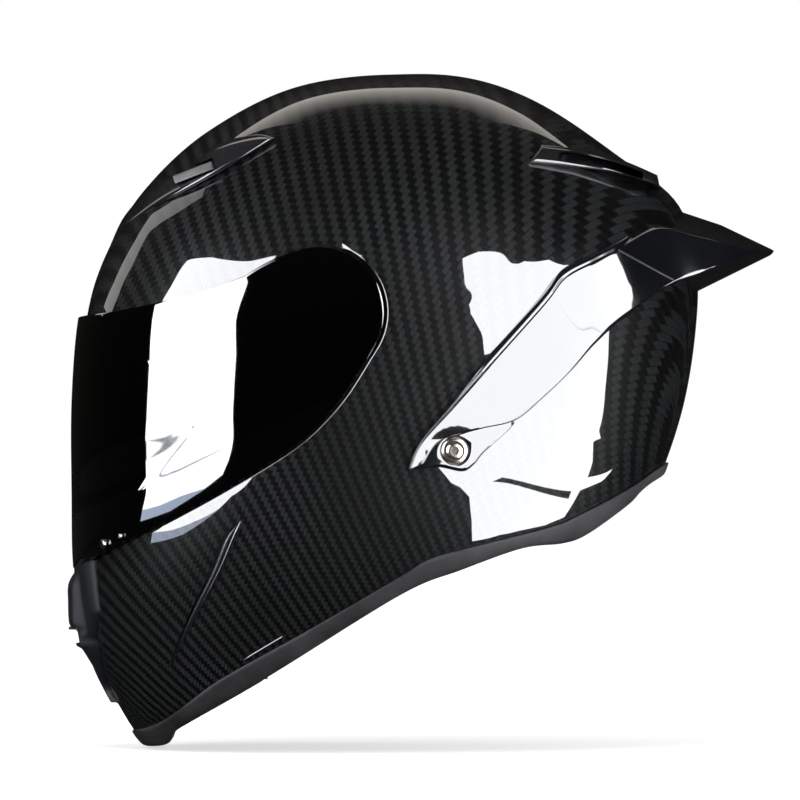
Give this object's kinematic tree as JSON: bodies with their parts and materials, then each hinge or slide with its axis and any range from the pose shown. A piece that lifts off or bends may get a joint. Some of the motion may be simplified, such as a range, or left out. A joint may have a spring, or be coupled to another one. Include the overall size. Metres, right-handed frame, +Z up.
{
  "type": "full face motorcycle helmet",
  "caption": "Full face motorcycle helmet with a hinged mirror visor, sliding brow vents, chin vent shutter, rear extractors, wrap-round rear spoiler, foam linings and a D-ring chin strap.",
  "frame": {"origin": "middle of the space for the head, level with the ears, where a headform's reference point lies", "axes": "+X to the back of the helmet, +Y to the wearer's right, +Z up as it is worn"},
  "size_m": [0.3316, 0.2606, 0.315],
  "materials": {
    "carbon_shell": "woven carbon under clear gloss lacquer",
    "rim_rubber": "matte grey rubber",
    "gasket_rubber": "matte black rubber",
    "foam": "black expanded bead foam",
    "lining_fabric": "brushed black jersey over foam",
    "curtain_fabric": "woven black cloth",
    "guard_rubber": "soft black rubber",
    "dark_plastic": "fine textured black nylon",
    "steel": "plain zinc",
    "vent_plastic": "smoked gloss plastic",
    "dull_plastic": "satin dark blue grey",
    "mesh_steel": "black wire mesh",
    "spoiler_plastic": "smoked gloss plastic",
    "screw_metal": "anodised, polished edge",
    "webbing": "woven polyester webbing",
    "ring_steel": "polished stainless",
    "mirror_visor": "dark tinted polycarbonate with a mirror coat",
    "bright_stud": "polished",
    "slider_silver": "silver painted",
    "shutter_plastic": "satin dark grey"
  },
  "bodies": {
    "shell": {"outer_shell": "carbon_shell", "rim_trim": "rim_rubber", "eyeport_gasket": "gasket_rubber", "eps_liner": "foam", "eps_chin": "foam", "eps_cheek_left": "foam", "eps_cheek_right": "foam", "crown_pad": "lining_fabric", "cheek_pad_left": "lining_fabric", "cheek_pad_right": "lining_fabric", "neck_roll": "lining_fabric", "chin_curtain": "curtain_fabric", "breath_guard": "guard_rubber", "pivot_plate_left": "dark_plastic", "pivot_plate_right": "dark_plastic", "pivot_screws": "steel", "brow_vent_left": "vent_plastic", "brow_vent_right": "vent_plastic", "rear_extractor_left": "vent_plastic", "rear_extractor_right": "vent_plastic", "chin_vent_cover": "dull_plastic", "chin_vent_mesh": "mesh_steel", "spoiler": "spoiler_plastic", "spoiler_screws": "screw_metal", "strap_left": "webbing", "strap_right": "webbing", "strap_anchors": "steel", "d_rings": "ring_steel"},
    "visor": {"visor": "mirror_visor", "visor_hub_left": "dark_plastic", "visor_hub_right": "dark_plastic", "visor_lock_pin": "bright_stud", "tearoff_posts": "steel"},
    "brow_slider_left": {"brow_slider_left": "slider_silver"},
    "brow_slider_right": {"brow_slider_right": "slider_silver"},
    "chin_vent_shutter": {"chin_vent_shutter": "shutter_plastic"}
  },
  "joints": [
    {"name": "visor_hinge", "type": "hinge", "parent": "shell", "child": "visor", "pos_m": [-0.0375, 0, 0.059], "axis": [0, 1, 0], "range_deg": [0, 45]},
    {"name": "brow_slide_left", "type": "slide", "parent": "shell", "child": "brow_slider_left", "axis": [-0.7299, 0.6307, -0.2636], "range_m": [0, 0.006]},
    {"name": "brow_slide_right", "type": "slide", "parent": "shell", "child": "brow_slider_right", "axis": [-0.7299, -0.6307, -0.2636], "range_m": [0, 0.006]},
    {"name": "chin_shutter_slide", "type": "slide", "parent": "shell", "child": "chin_vent_shutter", "axis": [0, 0, -1], "range_m": [0, 0.006]}
  ]
}
